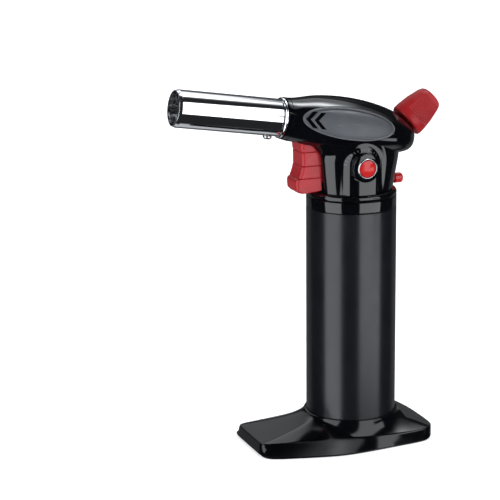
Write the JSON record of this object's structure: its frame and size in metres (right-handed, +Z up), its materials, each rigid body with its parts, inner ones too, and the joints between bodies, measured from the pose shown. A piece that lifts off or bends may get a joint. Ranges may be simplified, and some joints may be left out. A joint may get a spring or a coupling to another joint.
{
  "type": "butane torch",
  "caption": "Hand-held butane torch: tank handle on a flat stand, angled burner tube, trigger, lock dial with push button, gas knob and safety pin.",
  "frame": {"origin": "centre of the refill access hole in the stand's underside, on the tank axis at the resting plane", "axes": "+Z up along the tank, -X towards the burner mouth, +Y to the torch's left side; the dial is on the -Y side"},
  "size_m": [0.1406, 0.0638, 0.1839],
  "materials": {
    "gloss_black": "glossy",
    "matte_black": "matt",
    "tank_black": "satin black anodised aluminium",
    "inlay_grey": "satin",
    "trigger_red": "satin",
    "knob_red": "satin",
    "button_red": "glossy",
    "chrome": "polished",
    "brass": "machined",
    "steel": "plain",
    "zinc": "die-cast",
    "rubber": "matt",
    "nylon": "matt",
    "ceramic": "unglazed"
  },
  "bodies": {
    "torch": {"stand": "gloss_black", "stand_cover": "matte_black", "stand_screws": "steel", "tank_shell": "tank_black", "tank_plug": "nylon", "tank_seal": "rubber", "collar_band": "gloss_black", "collar_ring": "gloss_black", "fill_valve_body": "brass", "fill_valve_spring": "steel", "outlet_valve_body": "brass", "outlet_valve_spring": "steel", "dip_tube": "nylon", "head_left": "gloss_black", "head_right": "gloss_black", "case_screws": "steel", "inlay_left": "inlay_grey", "inlay_right": "inlay_grey", "burner_tube": "chrome", "burner_ring": "chrome", "burner_screw": "chrome", "mixer_spider": "steel", "mixing_tube": "steel", "flame_holder": "steel", "gas_jet": "brass", "regulator_block": "zinc", "button_spring": "steel", "piezo_body": "matte_black", "trigger_spring": "steel", "lever_pin": "steel", "mechanism_frame": "nylon", "safety_spring": "steel", "gas_hose": "rubber", "ignition_lead": "rubber", "electrode_insulator": "ceramic", "electrode": "steel"},
    "trigger": {"trigger": "trigger_red", "piezo_plunger": "nylon"},
    "gas_lever": {"gas_lever": "steel"},
    "outlet_stem": {"outlet_valve_stem": "brass", "outlet_valve_seal": "rubber"},
    "knob": {"valve_knob": "knob_red", "needle_spindle": "brass", "spindle_seal": "rubber"},
    "dial": {"lock_dial": "gloss_black", "dial_bezel": "chrome"},
    "button": {"lock_button": "button_red", "button_clip": "steel"},
    "safety_pin": {"safety_pin": "button_red"},
    "fill_stem": {"fill_valve_stem": "brass", "fill_valve_seal": "rubber"}
  },
  "joints": [
    {"name": "trigger_pull", "type": "slide", "parent": "torch", "child": "trigger", "axis": [1, 0, 0], "range_m": [0, 0.005], "stiffness_N_per_m": 1200, "springref_m": -0.003, "deforming": ["trigger_spring"]},
    {"name": "gas_lever_rock", "type": "hinge", "parent": "torch", "child": "gas_lever", "pos_m": [-0.006, 0, 0.1316], "axis": [0, -1, 0], "range_deg": [0, 12]},
    {"name": "outlet_stem_lift", "type": "slide", "parent": "torch", "child": "outlet_stem", "axis": [0, 0, 1], "range_m": [0, 0.0013], "deforming": ["outlet_valve_spring"]},
    {"name": "gas_knob_turn", "type": "hinge", "parent": "torch", "child": "knob", "pos_m": [0.0291, 0, 0.1592], "axis": [0.766, 0, 0.6428], "range_deg": [-150, 150]},
    {"name": "lock_dial_turn", "type": "hinge", "parent": "torch", "child": "dial", "pos_m": [-0.0025, -0.0225, 0.143], "axis": [0, -1, 0], "range_deg": [-60, 60]},
    {"name": "lock_button_press", "type": "slide", "parent": "torch", "child": "button", "axis": [0, 1, 0], "range_m": [0, 0.002], "stiffness_N_per_m": 500, "springref_m": -0.002, "deforming": ["button_spring"]},
    {"name": "safety_pin_press", "type": "slide", "parent": "torch", "child": "safety_pin", "axis": [-1, 0, 0], "range_m": [0, 0.0015], "stiffness_N_per_m": 500, "springref_m": -0.002, "deforming": ["safety_spring"]},
    {"name": "fill_stem_press", "type": "slide", "parent": "torch", "child": "fill_stem", "axis": [0, 0, 1], "range_m": [0, 0.0012], "stiffness_N_per_m": 500, "springref_m": -0.002, "deforming": ["fill_valve_spring"]}
  ],
  "couplings": [
    {"joint": "gas_lever_rock", "follows": "trigger_pull", "rad_per_m": 40.272},
    {"joint": "outlet_stem_lift", "follows": "trigger_pull", "ratio": 0.24}
  ]
}
